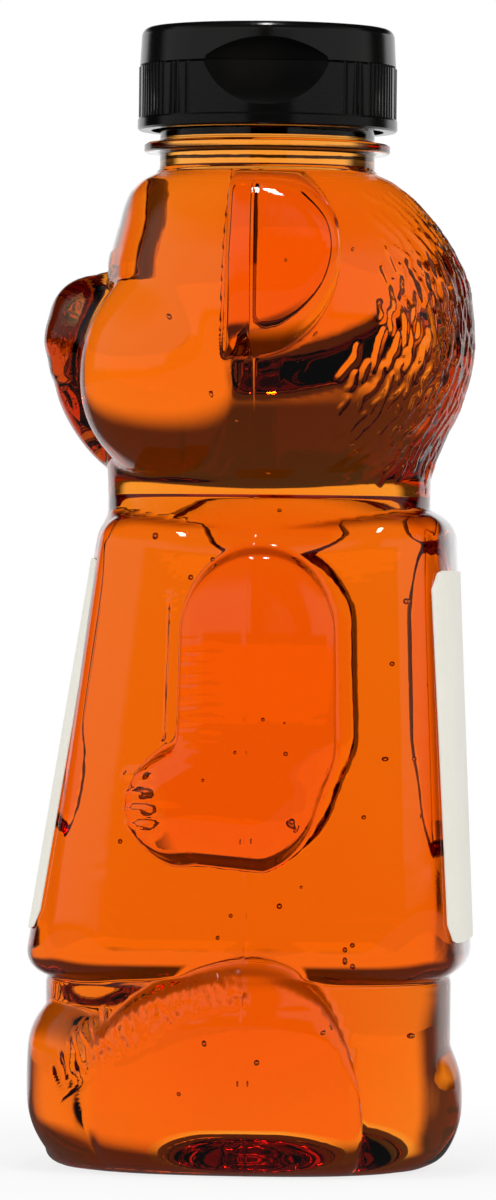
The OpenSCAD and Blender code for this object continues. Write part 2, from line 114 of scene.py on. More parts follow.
def bar(y, z, a, b, ra, rb):
    """Signed distance from the outline of a tapered bar in side view."""
    dy, dz = b[0] - a[0], b[1] - a[1]
    t = clamp(((y - a[0]) * dy + (z - a[1]) * dz) / (dy * dy + dz * dz))
    return np.hypot(y - a[0] - t * dy, z - a[1] - t * dz) - (ra + (rb - ra) * t)


def puffed(d, wall, share, width):
    """0 outside an outline and 1 inside it: a steep wall, then a cushion that fills slowly."""
    return share * ease(-d / wall) + (1 - share) * (1 - (1 - clamp(-d / width)) ** 2)


def side_face(a, across):
    """Radius of a side face at a distance across, and where it is from front to back."""
    c = np.maximum(np.abs(np.cos(a)), 0.3)
    return across / c, across * np.sin(a) / c


face_curve = [(-.16, .54), (0, .946), (.14, .985), (.39, 1), (.69, .973), (.81, .923),
              (.91, .869), (.965, .792), (1, .677)]
nape_curve = [(-.16, .47), (0, .775), (.14, .87), (.24, .94), (.43, 1), (.61, .979),
              (.77, .879), (.89, .743), (.965, .627), (1, .521)]
temple_curve = [(-.16, .45), (-.03, .69), (0, .735), (.06, .793), (.12, .842), (.2, .895), (.285, .937),
                (.365, .968), (.53, 1), (.69, .98), (.81, .917), (.91, .813), (.965, .713), (1, .587)]
arm_curve = [(-57, -.5), (-35, -.9), (-21, -1), (-13, -1.8), (-4, -4.5)]
thigh_curve = [(-31, -3.7), (-23, -2.2), (-14, -.8), (-5, .2), (0, 0), (5, -1.6)]


def trunk(a, z):
    """The seat, torso, throat and head, without limbs or face."""
    c = np.abs(np.cos(a))
    set_in = edge_in(torso_z + 1 - z, 1.2, 2)
    round_back = np.where(np.sin(a) > 0, 2.1, 3.4)
    seat = section(a, seat_half - set_in, lap_front - set_in, seat_back - set_in, round_back)
    seat = np.where(z < torso_z + 1, seat, 0)
    t = (z - torso_z) / torso_h
    top = shoulder_z + 1.2 - 3.2 * c ** 3
    set_in = edge_in(z - torso_z, 6, 5) + edge_in(top - z, 5, 4.5)
    flat_side = 4.5 + 2.5 * ease((c - 0.57) / 0.22)
    torso = section(a, torso_half + (shoulder_half - torso_half) * t - set_in,
                    belly_front + (chest_front - belly_front) * t - set_in,
                    rump_back + (shoulder_back - rump_back) * t - set_in, flat_side)
    torso = np.where((z >= torso_z) & (z < top), torso, 0)
    waist = (section(a, seat_half - 3.4, lap_front - 3.2, seat_back - 3.4, round_back)
             - 0.3 * np.maximum(z - torso_z - 9, 0))
    throat = (section(a, 20.2 + 0.95 * clamp(shoulder_z + 3 - z, 0, 5), face_front - 0.8, 0.8 * head_back, 2.5)
              - 0.6 * np.maximum(np.abs(z - shoulder_z - throat_h / 2 + 0.8) - 6, 0))
    t = (z - chin_z) / head_h
    head = section(a, head_half * curve(temple_curve, t), face_front * curve(face_curve, t),
                   head_back * curve(nape_curve, t), 2.3)
    return fillet(fillet(np.maximum(fillet(seat, torso, 0.8), waist), throat, 2.5), head, 1.2)


def arm_outline(y, z):
    """Signed distance from the arm's outline: the upper arm hangs, the forearm points forward."""
    upper = bar(y, z, (1.8, shoulder_z - 19.2), (1.8, shoulder_z - 35.5), 14.6, 14.9)
    fore = bar(y, z, (-11.9, torso_z + 28.3), (-0.2, shoulder_z - 43.2), 9.7, 13.9)
    return -fillet(-upper, -fore, 1.5)


def with_arm(r, a, z):
    """The arm lies on the torso like a flat cushion."""
    face, y = side_face(a, arm_half + curve(arm_curve, z - shoulder_z))
    return r + np.maximum(face - r, 0) * puffed(arm_outline(y, z), 2.2, 0.75, 8) * (np.abs(np.cos(a)) > 0.4)


def thigh_outline(y, z):
    """About the signed distance from the thigh's arch."""
    power = np.where(y < 0, 1.6, 2.3)
    reach = np.where(y < 0, 44.2, 23.4)
    arch = ((np.abs(y) / reach) ** power + np.abs((z - 6) / 29.4) ** power) ** (1 / power)
    return (arch - 1) * 24


def with_thigh(r, a, z):
    """The thigh is a broad arch, steep behind and sloping down to the foot in front."""
    half = thigh_half + curve(thigh_curve, z - torso_z)
    y = side_face(a, half)[1]
    face = side_face(a, half - edge_in(y + 37.6, 19, 24))[0]
    on_side = ease((np.abs(np.cos(a)) - 0.4) / 0.2)
    return r + np.maximum(face - r, 0) * puffed(thigh_outline(y, z), 3.0, 0.55, 12) * on_side


def with_ear(r, a, z):
    """The ear is a lobe with a face to the front that is rounded at its edge."""
    h = z - chin_z - 33.2
    lobe = clamp(1 - np.abs(h / 15.5) ** 3.4) ** (1 / 3.4)
    face, y = side_face(a, ear_half - 15 * (1 - lobe))
    low_edge = np.hypot(y + 3.8, h - 8.2) - 23.5
    oval = ((np.abs(y + 2) / 21.4) ** 2.4 + np.abs(h / 17.6) ** 2.4) ** (1 / 2.4)
    rim = fillet(low_edge, (oval - 1) * 17.6, 3)
    d = clamp(rim / -6.0)
    front = ease((y + 5.6) / 1.6) * np.sqrt(1 - (1 - clamp((y + 5.6) / 4.2)) ** 2)
    return r + np.maximum(face - r, 0) * d * (2 - d) * front * ((np.abs(np.cos(a)) > 0.4) & (lobe > 0))


def with_face(r, a, z):
    """Cheeks, snout, lip and nose."""
    r = fillet(r, lump(a, z, (13.5, -14, chin_z + 16.3), 13.8, 15, 16, 16.5, 2.2), 4)
    r = fillet(r, lump(a, z, (0, -24, chin_z + 21.9), 9.5, snout_front - 24, 11, 11, 2.8), 2.5)
    r = fillet(r, lump(a, z, (0, -24, chin_z + 14.5), 8.5, snout_front - 25.4, 8, 14, 1.4), 0.6)
    return fillet(r, lump(a, z, (0, -31, chin_z + 22), 6, nose_front - 31, 6, 5, 2.0), 0.8)


def form(a, z):
    """The whole outer form, without its fine relief."""
    r = with_thigh(with_arm(trunk(a, z), a, z), a, z)
    r = fillet(r, lump(a, z, (13.2, -24.6, 16), 13, foot_front - 24.6, 11.6, 14.6, 2.8), 3)
    r = fillet(r, lump(a, z, (0, 25.5, 11.6), 9.5, tail_back - 25.5, 9.8, 10.5, 2.3), 2)
    r = with_face(with_ear(r, a, z), a, z)
    out = 10.2 * np.sqrt(1 - (1 - clamp(z / 11)) ** 2) + 0.5 * np.maximum(z - 27, 0)
    base = section(a, seat_half - 3.7 + out, foot_front - 8.0 + out, tail_back - 9.0 + out, 2.4)
    return -fillet(-r, -base, 2 + 4 * np.sin(2 * a) ** 2)


class Belt:
    """A belt of the skin, as rows of points that share out each row's outline by its length."""

    def __init__(self, steps, back_count, front_count, weigh):
        rows = [steps[0][0]]
        while rows[-1] < steps[-1][0] - steps[-1][1] / 2:
            rows.append(rows[-1] + float(np.interp(rows[-1], *zip(*steps))))
        low, high = steps[0][0], steps[-1][0]
        self.rows = low + (np.array(rows) - low) * (high - low) / (rows[-1] - low)
        self.around = np.concatenate([self.share_out(0, back_count, weigh),
                                      self.share_out(math.pi, front_count, weigh)], axis=1)
        self.heights = np.repeat(self.rows[:, None], self.around.shape[1], axis=1)
        self.radii = form(self.around, self.heights)
        self.x = np.abs(self.radii * np.cos(self.around))
        self.y = self.radii * np.sin(self.around)
        self.relief = np.zeros_like(self.radii)

    def share_out(self, start, count, weigh):
        """Angles of the columns in the half of each row that starts at a seam of the mould."""
        fine = start + np.linspace(0, math.pi, 700)
        a, z = np.meshgrid(fine, self.rows)
        r = form(a, z)
        step = np.hypot(np.diff(r * np.cos(a)), np.diff(r * np.sin(a)))
        run = np.cumsum(step * weigh(a, r * np.sin(a), z)[:, 1:], axis=1)
        run = np.concatenate([np.zeros((len(run), 1)), run], axis=1)
        angles = []
        for row, total in zip(run, run[:, -1]):
            inner = np.linspace(0.5, total - 0.5, count - 3)
            angles.append(np.interp(np.concatenate([[0, 0.22], inner, [total - 0.22]]), row, fine))
        reach = 5
        blur = np.exp(-np.linspace(-2, 2, 2 * reach + 1) ** 2)
        padded = np.pad(np.array(angles), ((reach, reach), (0, 0)), mode="edge")
        return sum(w * padded[k:k + len(angles)] for k, w in enumerate(blur / blur.sum()))

    def stroke(self, a, z, lean, length, half, tall, bend=0.0, wave=0.0):
        """One moulded ridge on both sides of the bear, round at its ends. It leans from upright."""
        spots = []
        for da, dz in ((0, 0), (1e-3, 0), (-1e-3, 0), (0, 0.05), (0, -0.05)):
            r = form(np.array([a + da]), np.array([z + dz]))[0]
            spots.append(np.array([r * math.cos(a + da), r * math.sin(a + da), z + dz]))
        level, upward = spots[1] - spots[2], spots[3] - spots[4]
        level, upward = level / np.linalg.norm(level), upward / np.linalg.norm(upward)
        along = upward * math.cos(lean) - level * math.sin(lean)
        across = level * math.cos(lean) + upward * math.sin(lean)
        rows = slice(*np.searchsorted(self.rows, (z - length, z + length)))
        offset = np.stack([self.x[rows], self.y[rows], self.heights[rows]], axis=-1) - spots[0]
        q = offset @ along / (length / 2)
        p = offset @ across - bend * q * q - wave * np.sin(q * math.pi)
        near = (np.abs(q) < 1) & (np.linalg.norm(offset, axis=-1) < length)
        ridge = clamp(1 - (p / half) ** 2) ** 1.3 * np.sqrt(clamp(1 - q ** 4))
        self.relief[rows] = np.maximum(self.relief[rows], np.where(near, tall * ridge, 0))

    def rings(self):
        """The belt's rings, with the seam of the mould as a fine ridge between tilted halves."""
        from_seam = np.abs(self.y)
        seam = 0.08 * clamp(1 - from_seam / 0.4) - 0.13 * (1 - np.exp(-from_seam / 5))
        radii = self.radii + self.relief + seam * (self.x > 5)
        return [ring(r, z, a) for r, z, a in zip(radii, self.rows, self.around)]


def ring(r, z, angles):
    """Points round the neck's axis."""
    r = np.broadcast_to(r, angles.shape)
    return np.stack([r * np.cos(angles), r * np.sin(angles), np.broadcast_to(z, angles.shape)], axis=-1)


def side_angle(y, z):
    """The angle on the bear's left at which the skin is y behind the neck's axis."""
    a = y / 30
    for turn in range(14):
        r = form(np.array([a]), np.array([z]))[0]
        a = math.asin(clamp(y / r, -0.98, 0.98))
    return a


def beside(a, low):
    """1 on the sides of the bear and 0 on its front and back."""
    return ease((np.abs(np.cos(a)) - low) / 0.15)


def legs_weight(a, y, z):
    """Fine along the thigh's arch and under its fur."""
    fur = ease((y + 35) / 4) * ease((3 - y) / 3) * ease((z - 11) / 5)
    return 0.45 + beside(a, 0.35) * (0.55 + 1.8 * fur + 1.6 * np.exp(-(thigh_outline(y, z) / 1.5) ** 2))


def torso_weight(a, y, z):
    """Fine along the arm's outline."""
    return 0.3 + beside(a, 0.35) * (0.7 + 0.4 * beside(a, 0.72) + 3.0 * np.exp(-(arm_outline(y, z) / 1.5) ** 2))


def head_weight(a, y, z):
    """Fine along the ear's front edge and under the fur."""
    return 0.8 + 1.5 * ease((y - 10) / 5) + 2.6 * np.exp(-((y + 4.3) / 1.7) ** 2) * beside(a, 0.7)


legs = Belt([(0, .35), (3, .5), (6, .85), (12, .7), (14.5, .43), (34, .43), (36.5, .5)], 78, 190, legs_weight)
torso = Belt([(37, .7), (40, 1.0), (46, .7), (48, .36), (54, .38), (57, .6), (62, .7), (86, .7), (90, .42),
              (109, .42)], 90, 100, torso_weight)
head = Belt([(109.5, .4), (112, .42), (159, .42), (161.3, .33)], 216, 94, head_weight)

# The fur at the back of the head: staggered worm-like ridges that run down and back at the
# top, straight down in the middle, and forward at the nape.
dice = np.random.default_rng(7)
fur_edge = [(113, 13.6), (119, 14.4), (128, 15.1), (135, 20.8), (149, 20.5), (155, 17), (158, 14)]
fur_lean = [(113, -42), (120, -38), (127, -26), (135, -6), (142, 12), (149, 34), (158, 46)]
level_z = 114.0
while level_z < 158:
    reach = float(form(np.array([math.pi / 4]), np.array([level_z]))[0])
    start = math.asin(min(float(curve(fur_edge, level_z)) / reach, 0.95))
    count = int((math.pi / 2 - start) * reach / 1.45)
    for i in range(count):
        t = (i + 0.5 + dice.uniform(-0.2, 0.2)) / count
        z = level_z + (2.5 if i % 2 else 0) + dice.uniform(-0.9, 0.9)
        a = start + t * (math.pi / 2 - start) + dice.uniform(-0.01, 0.01)
        lean = math.radians(curve(fur_lean, z) * (1 - t ** 1.5) + dice.uniform(-12, 12))
        head.stroke(a, min(z, 158.6), lean, dice.uniform(3.4, 6.6), dice.uniform(0.46, 0.62),
                    dice.uniform(0.26, 0.36), dice.uniform(-0.6, 0.6), dice.uniform(-0.35, 0.35))
    level_z += 4.9

# The fur on the thighs: a band of wavy ridges under the arch, over shorter ones.
band_top = [(-31.5, 17), (-26.4, 24.2), (-20.2, 28), (-16.2, 30.2), (-10.6, 32.4), (-3.4, 33.6), (0, 33.8)]
band_low = [(-31.5, 11), (-26.6, 15.7), (-19.9, 19.8), (-16.4, 21.4), (-10.5, 25.4), (-3.9, 26.9), (0, 28)]
y = -31.0
while y < -1:
    top, low = float(curve(band_top, y)), float(curve(band_low, y))
    length = (top - low) * dice.uniform(0.62, 0.8)
    mid = top - length / 2 - 0.3
    legs.stroke(side_angle(y, mid), mid, math.radians(dice.uniform(8, 24)), length, dice.uniform(0.44, 0.56),
                0.2 + 0.35 * ease((y + 30) / 6), 0.0, dice.uniform(-0.5, 0.5))
    short = (top - low) * 0.3
    legs.stroke(side_angle(y + 1.2, low + short / 2), low + short / 2, math.radians(dice.uniform(-20, 50)),
                short, 0.5, 0.15 + 0.3 * ease((y + 30) / 6), dice.uniform(-0.4, 0.4))
    y += 1.36

# Paws with four fingers, and short ridges of fur down the front edge of the arm.
for z in (64.2, 61.2, 58.4, 55.9):
    torso.stroke(side_angle(-17.3, z), z, math.pi / 2, 5.0, 0.95, 0.34)
for i in range(12):
    z = 86.4 - 1.74 * i
    torso.stroke(side_angle(-8.9 - 0.1 * i, z), z, math.radians(90 + dice.uniform(-6, 6)), 3.8, 0.6, 0.14, 0.25)
for i in range(20):
    z = 92.5 - 1.35 * i
    torso.stroke(side_angle(-12.3 - 0.03 * i, z), z, math.radians(24), 1.8, 0.5, 0.26)

# The eyes are two low domes, and the mouth a moulded line on each side under the nose.
for z in (144.4, 145.4, 146.4):
    head.stroke(-math.pi / 2 + 0.33, z, 0, 4.4, 2.0, 0.5)
head.stroke(-math.pi / 2 + 0.12, 127.6, math.radians(62), 5.0, 0.5, 0.3, 0.8)


def rings_mesh(name, rings, extra=()):
    """A closed mesh, in millimetres, from rings that all start on the same side. Rings with
    unequal counts are joined by a strip of triangles."""
    starts = np.cumsum([0] + [len(r) for r in rings])
    verts = np.concatenate(list(rings) + [points for points, _ in extra]) / 1000
    faces = [list(range(len(rings[0]) - 1, -1, -1))]
    turns = [np.unwrap(np.arctan2(r[:, 1], r[:, 0])) for r in rings]
    for low, high, m, n, ta, tb in zip(starts, starts[1:], map(len, rings), map(len, rings[1:]), turns, turns[1:]):
        low, high = int(low), int(high)
        if m == n:
            faces += [[low + j, low + (j + 1) % n, high + (j + 1) % n, high + j] for j in range(n)]
            continue
        ta, tb = np.append(ta, ta[0] + 2 * math.pi), np.append(tb, tb[0] + 2 * math.pi)
        i = j = 0
        while i < m or j < n:
            if j == n or (i < m and ta[i + 1] <= tb[j + 1]):
                faces.append([low + i, low + (i + 1) % m, high + j % n])
                i += 1
            else:
                faces.append([low + i % m, high + (j + 1) % n, high + j])
                j += 1
    faces.append(list(range(int(starts[-2]), int(starts[-1]))))
    base = int(starts[-1])
    for points, more in extra:
        faces += [[base + k for k in face] for face in more]
        base += len(points)
    mesh = bpy.data.meshes.new(name)
    mesh.from_pydata(verts.tolist(), [], faces)
    mesh.polygons.foreach_set("use_smooth", [True] * len(mesh.polygons))
    mesh.update()
    piece = bpy.data.objects.new(name, mesh)
    bpy.context.scene.collection.objects.link(piece)
    return piece


# The shell itself: the hollow base, the skin, the neck with its bead and thread, and the
# inside wall down to the floor.
neck_h, neck_r, bore_r = 15.0, 17.45, 15.9
lip_z = neck_z + neck_h
bead_z, bead_h, bead_r = neck_z + 3.2, 1.5, 20.0
wall = 0.55
hollow_h, hollow_r = 7.6, 20.6
neck_around = np.linspace(0, 2 * math.pi, 97)[:-1]
dome_steps = [(t, 1 - t ** 6) for t in (0.02, 0.2, 0.4, 0.52, 0.62, 0.7, 0.77, 0.83, 0.88, 0.92, 0.95, 0.98, 1)]
dome = [ring(hollow_r * t, hollow_h * high, neck_around) for t, high in dome_steps]
neck_profile = [(neck_r + 0.5, neck_z + 0.1), (neck_r + 0.12, neck_z + 0.4), (neck_r, neck_z + 0.9),
                (neck_r, bead_z - 0.3), (neck_r + 0.3, bead_z), (bead_r - 0.3, bead_z),
                (bead_r, bead_z + 0.3), (bead_r, bead_z + bead_h - 0.3), (bead_r - 0.3, bead_z + bead_h),
                (neck_r + 0.3, bead_z + bead_h), (neck_r, bead_z + bead_h + 0.3)]


def held(profile):
    """A profile with extra points beside its corners, which keep its long stretches straight."""
    points = [profile[0]]
    for (r, z), (next_r, next_z) in zip(profile, profile[1:]):
        length = math.hypot(next_r - r, next_z - z)
        if length > 0.6:
            shares = (0.08 / length, 1 - 0.08 / length)
            points += [(r + (next_r - r) * t, z + (next_z - z) * t) for t in shares]
        points.append((next_r, next_z))
    return points


neck = [ring(r, z, neck_around) for r, z in held(neck_profile)]
pitch, thread_turns, thread_top = 4.233, 1.25, lip_z - 2.2
for z in np.arange(bead_z + bead_h + 0.8, lip_z - 0.8, 0.42):
    tall = np.zeros_like(neck_around)
    for lap in (-1, 0, 1, 2):
        run = neck_around / (2 * math.pi) + lap
        off = z - (thread_top - pitch * run)
        ends = ease(run / 0.08) * ease((thread_turns - run) / 0.08)
        tall = np.maximum(tall, 1.1 * ends * ease((1.15 - np.abs(off)) / 0.6))
    neck.append(ring(neck_r + tall, z, neck_around))
lip_profile = [(neck_r, lip_z - 0.5), (neck_r - 0.15, lip_z - 0.15), (neck_r - 0.5, lip_z),
               (bore_r + 0.4, lip_z), (bore_r + 0.1, lip_z - 0.12), (bore_r, lip_z - 0.4), (bore_r, lip_z - 6)]
neck += [ring(r, z, neck_around) for r, z in held(lip_profile)]
inner_z = np.concatenate([np.linspace(neck_z - 0.5, 8, 64), np.linspace(8, 0.7, 8)[1:]])


def inside_skin(z, gap):
    """The form drawn in by the wall, from the narrowest place nearby."""
    near = []
    for dz in (-0.9, 0, 0.9):
        for da in (-0.03, 0, 0.03):
            near.append(form(neck_around + da, np.full(neck_around.shape, z + dz)))
    return np.minimum.reduce(near) - gap - edge_in(z - 0.7, 1.5, 1.5)


inner = [ring(bore_r, z, neck_around) for z in (neck_z + 1.6, neck_z + 1.5)]
inner += [ring(inside_skin(z, wall), z, neck_around) for z in inner_z]
inner += [ring((hollow_r + wall) * t, (hollow_h - 0.15) * high + 0.7, neck_around) for t, high in dome_steps[::-1]]
before_inner = dome + legs.rings() + torso.rings() + head.rings() + neck
bottle = rings_mesh("bear_bottle", before_inner + inner)


class Paint:
    """A shader socket that takes part in sums like a number."""

    def __init__(self, tree, out):
        self.tree, self.out = tree, out

    def node(self, kind, settings=None, sockets=None, give=0):
        """The output of a new node, with its settings set first and then its sockets."""
        made = self.tree.nodes.new("ShaderNode" + kind)
        for key, value in (settings or {}).items():
            if key == "stops":
                for at, (place, colour) in enumerate(value):
                    stops = made.color_ramp.elements
                    stop = stops[at] if at < len(stops) else stops.new(place)
                    stop.position, stop.color = place, colour
            else:
                setattr(made, key, value)
        for key, value in (sockets or {}).items():
            if isinstance(value, Paint):
                self.tree.links.new(value.out, made.inputs[key])
            else:
                made.inputs[key].default_value = value
        return Paint(self.tree, made.outputs[give])

    def maths(self, operation, first, second=0.0):
        return self.node("Math", {"operation": operation}, {0: first, 1: second})

    def __add__(self, other):
        return self.maths("ADD", self, other)

    def __radd__(self, other):
        return self.maths("ADD", other, self)

    def __sub__(self, other):
        return self.maths("SUBTRACT", self, other)

    def __rsub__(self, other):
        return self.maths("SUBTRACT", other, self)

    def __mul__(self, other):
        return self.maths("MULTIPLY", self, other)

    def __rmul__(self, other):
        return self.maths("MULTIPLY", other, self)

    def spread(self, low, high, first, last):
        """A soft step of this value from first to last, between low and high."""
        return self.node("MapRange", {"interpolation_type": "SMOOTHSTEP"},
                         {"Value": self, "From Min": low, "From Max": high, "To Min": first, "To Max": last})

    def noise(self, scale, detail):
        return self.node("TexNoise", {"noise_dimensions": "3D"}, {"Vector": self, "Scale": scale, "Detail": detail})


def finish_of(name, **constants):
    """A new material with its shader's constants, and its point in space to paint from."""
    material = bpy.data.materials.new(name)
    material.use_nodes = True
    tree = material.node_tree
    shader = tree.nodes["Principled BSDF"]
    for key, value in constants.items():
        shader.inputs[key.replace("_", " ")].default_value = value
    return material, shader, Paint(tree, tree.nodes.new("ShaderNodeTexCoord").outputs["Object"])


def feed(shader, socket, value):
    value.tree.links.new(value.out, shader.inputs[socket])


plastic_index, honey_index = 1.51, 1.49
clear, shader, place = finish_of("clear_plastic", IOR=plastic_index, Transmission_Weight=1.0)
haze = place.noise(120.0, 3.0)
feed(shader, "Base Color", place.node("ValToRGB", {"stops": [(0.3, (0.985, 0.985, 0.98, 1)), (0.7, (1, 1, 1, 1))]},
                                      {"Fac": haze}))
feed(shader, "Roughness", 0.02 * haze)
ripple = place.noise(230.0, 2.0)
feed(shader, "Normal", place.node("Bump", {}, {"Strength": 0.05, "Distance": 0.0004, "Height": ripple}))
wetted, shader, place = finish_of("clear_plastic_wetted", IOR=plastic_index / honey_index, Roughness=0.0,
                                  Transmission_Weight=1.0)
haze = place.noise(120.0, 3.0)
feed(shader, "Alpha", 0.02 * haze)
feed(shader, "Base Color", place.node("ValToRGB", {"stops": [(0.3, (0.985, 0.985, 0.98, 1)), (0.7, (1, 1, 1, 1))]},
                                      {"Fac": haze}))
bottle.data.materials.append(clear)
bottle.data.materials.append(wetted)
first_wet = len(bottle.data.polygons) - len(neck_around) * len(inner) - 1
wet = [1 if p.index >= first_wet else 0 for p in bottle.data.polygons]
bottle.data.polygons.foreach_set("material_index", wet)
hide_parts("bottle")
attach(bottle, "bottle")

# The honey: clear amber liquid that wets the wall all over and stands up into the neck,
# with a few air bubbles that rise too slowly to leave it.
clearance = 0.03
honey_top = lip_z - 6
fill = [ring((hollow_r + wall) * t, (hollow_h - 0.15) * high + 0.7 + clearance, neck_around)
        for t, high in dome_steps]
fill += [ring(inside_skin(z, wall + clearance), z + clearance, neck_around) for z in inner_z[::-1]]
fill += [ring(bore_r - clearance, z, neck_around) for z in (neck_z + 1.5, lip_z - 8, honey_top)]
bubbles = []
bubble_spots = [(24.0, -15.4, 101.6, .5), (24.5, -9.6, 95.5, .45), (26.5, -6, 98.4, .4), (23.0, 24.3, 92, .5),
                (22.0, 22.3, 82, .4), (26.5, 6.9, 57, .5), (27.5, -10.8, 51.2, .45), (26.0, -20.3, 53.3, .4)]
for i in range(40):
    turn, far = dice.uniform(0, 2 * math.pi), dice.uniform(4, 21)
    bubble_spots.append((far * math.cos(turn), far * math.sin(turn), dice.uniform(8, 150), dice.uniform(0.2, 0.5)))
lat = np.linspace(0, math.pi, 8)[1:-1]
lon = np.arange(12) * math.pi / 6
for x, y, z, r in bubble_spots:
    ball = [(x, y, z + r)]
    ball += [(x + r * math.sin(u) * math.cos(v), y + r * math.sin(u) * math.sin(v), z + r * math.cos(u))
             for u in lat for v in lon]
    ball.append((x, y, z - r))
    sides = [[0, 1 + (k + 1) % 12, 1 + k] for k in range(12)]
    for row in range(5):
        at = 1 + 12 * row
        sides += [[at + k, at + (k + 1) % 12, at + 12 + (k + 1) % 12, at + 12 + k] for k in range(12)]
    sides += [[61 + k, 61 + (k + 1) % 12, 73] for k in range(12)]
    bubbles.append((np.array(ball), sides))
honey = rings_mesh("honey_fill", fill, bubbles)
liquid, shader, place = finish_of("honey", Roughness=0.0, IOR=1.0, Transmission_Weight=1.0)
cloud = place.noise(40.0, 2.0)
feed(shader, "Base Color", place.node("ValToRGB", {"stops": [(0.3, (0.99, 0.985, 0.97, 1)), (0.7, (1, 1, 1, 1))]},
                                      {"Fac": cloud}))
soak = liquid.node_tree.nodes.new("ShaderNodeVolumeAbsorption")
soak.inputs["Color"].default_value = (0.986, 0.672, 0.0, 1)
soak.inputs["Density"].default_value = 110.0
liquid.node_tree.links.new(soak.outputs[0], liquid.node_tree.nodes["Material Output"].inputs["Volume"])
air, shader, place = finish_of("air_bubble", Roughness=0.0, IOR=honey_index, Transmission_Weight=1.0)
film = place.noise(400.0, 2.0)
feed(shader, "Base Color", place.node("ValToRGB", {"stops": [(0.3, (0.99, 0.98, 0.96, 1)), (0.7, (1, 1, 1, 1))]},
                                      {"Fac": film}))
honey.data.materials.append(liquid)
honey.data.materials.append(air)
bubble_faces = sum(len(sides) for _, sides in bubbles)
marks = [0] * (len(honey.data.polygons) - bubble_faces) + [1] * bubble_faces
honey.data.polygons.foreach_set("material_index", marks)
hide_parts("honey")
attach(honey, "bottle")

# The seal: a disc of foam with a foil face, pressed on the lip by the cap and welded there
# by induction.
foil, shader, place = finish_of("seal_foil", Metallic=1.0)
wrinkle = place.noise(400.0, 4.0)
feed(shader, "Base Color", place.node("ValToRGB", {"stops": [(0.3, (0.70, 0.70, 0.69, 1)), (0.7, (0.86, 0.86, 0.85, 1))]},
                                      {"Fac": wrinkle}))
feed(shader, "Roughness", 0.25 + 0.2 * wrinkle)
feed(shader, "Normal", place.node("Bump", {}, {"Strength": 0.2, "Distance": 0.0003, "Height": wrinkle}))
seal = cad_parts["seal_liner"]
seal.data.materials.clear()
seal.data.materials.append(foil)

# The cap: skirt, deck and spout moulded in gloss black plastic, with the lid and the strap
# between them in the same shot.
cap_plastic, shader, place = finish_of("cap_plastic")
cloud = place.noise(90.0, 4.0)
grain = place.noise(1400.0, 2.0)
feed(shader, "Base Color", place.node("ValToRGB", {"stops": [(0.3, (0.0015, 0.0015, 0.0015, 1)), (0.75, (0.004, 0.0035, 0.003, 1))]},
                                      {"Fac": cloud}))
feed(shader, "Roughness", 0.12 + 0.1 * cloud)
feed(shader, "Normal", place.node("Bump", {}, {"Strength": 0.04, "Distance": 0.0002, "Height": grain}))
for name in ("cap_base", "flip_lid"):
    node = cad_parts[name]
    node.data.materials.clear()
    node.data.materials.append(cap_plastic)

# The hinge: a strap of the cap's plastic, thinned across the middle, where the real strap bends as the lid opens.
# It lies against the flats of the skirt and the lid.
cap_turn = math.radians(3.5)
strap_w, strap_t, strap_h, hinge_x, split_z = 9.0, 0.5, 5.0, 20.072, 178.6
strap_rings = []
for dz in np.linspace(-strap_h / 2, strap_h / 2, 41):
    thin = 0.17 * math.exp(-(dz - 0.05) ** 2 / 0.12)
    far, near = -hinge_x - strap_t + thin, -hinge_x - thin
    corners = np.array([(far, -strap_w / 2), (near, -strap_w / 2), (near, strap_w / 2), (far, strap_w / 2)])
    turned_x = corners[:, 0] * math.cos(cap_turn) - corners[:, 1] * math.sin(cap_turn)
    turned_y = corners[:, 0] * math.sin(cap_turn) + corners[:, 1] * math.cos(cap_turn)
    strap_rings.append(np.stack([turned_x, turned_y, np.full(4, split_z + dz)], axis=-1))
strap = rings_mesh("living_hinge", strap_rings)
strap.data.polygons.foreach_set("use_smooth", [False] * len(strap.data.polygons))
strap.data.materials.append(cap_plastic)
hinge_at = np.array([-math.cos(cap_turn), -math.sin(cap_turn), 0]) * (hinge_x + strap_t / 2)
start, end = hinge_at + (0, 0, split_z - 0.45), hinge_at + (0, 0, split_z + 0.55)
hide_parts("hinge_strap")
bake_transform(strap)

# The labels: two bare sheets of satin film on the front and back panels, with rounded
# corners.
label_film, shader, place = finish_of("label_film", IOR=1.5)
fibre = place.noise(900.0, 5.0)
blotch = place.noise(60.0, 2.0)
feed(shader, "Base Color", place.node("ValToRGB", {"stops": [(0.3, (0.83, 0.80, 0.70, 1)), (0.7, (0.88, 0.85, 0.76, 1))]},
                                      {"Fac": 0.5 * fibre + 0.5 * blotch}))
feed(shader, "Roughness", 0.35 + 0.2 * fibre)
feed(shader, "Normal", place.node("Bump", {}, {"Strength": 0.08, "Distance": 0.0002, "Height": fibre}))
for name in ("front_label", "back_label"):
    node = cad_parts[name]
    node.data.materials.clear()
    node.data.materials.append(label_film)

# The set: a pale table, white to the camera away from the object's shadow.
reach = 3.0
floor_mesh = bpy.data.meshes.new("floor")
corners = [(-reach, -reach, 0), (reach, -reach, 0), (reach, reach, 0), (-reach, reach, 0)]
floor_mesh.from_pydata(corners, [], [(0, 1, 2, 3)])
floor = bpy.data.objects.new("floor", floor_mesh)
bpy.context.scene.collection.objects.link(floor)
table = bpy.data.materials.new("table")
table.use_nodes = True
tree = table.node_tree
tree.nodes.remove(tree.nodes["Principled BSDF"])
rays = tree.nodes.new("ShaderNodeLightPath")
camera_ray, glossy_ray, clear_ray = (Paint(tree, rays.outputs[f"Is {kind} Ray"])
                                     for kind in ("Camera", "Glossy", "Transmission"))
place = Paint(tree, tree.nodes.new("ShaderNodeTexCoord").outputs["Object"])
away = place.node("VectorMath", {"operation": "LENGTH"}, {0: place}, give="Value")
split = tree.nodes.new("ShaderNodeSeparateXYZ")
tree.links.new(place.out, split.inputs[0])
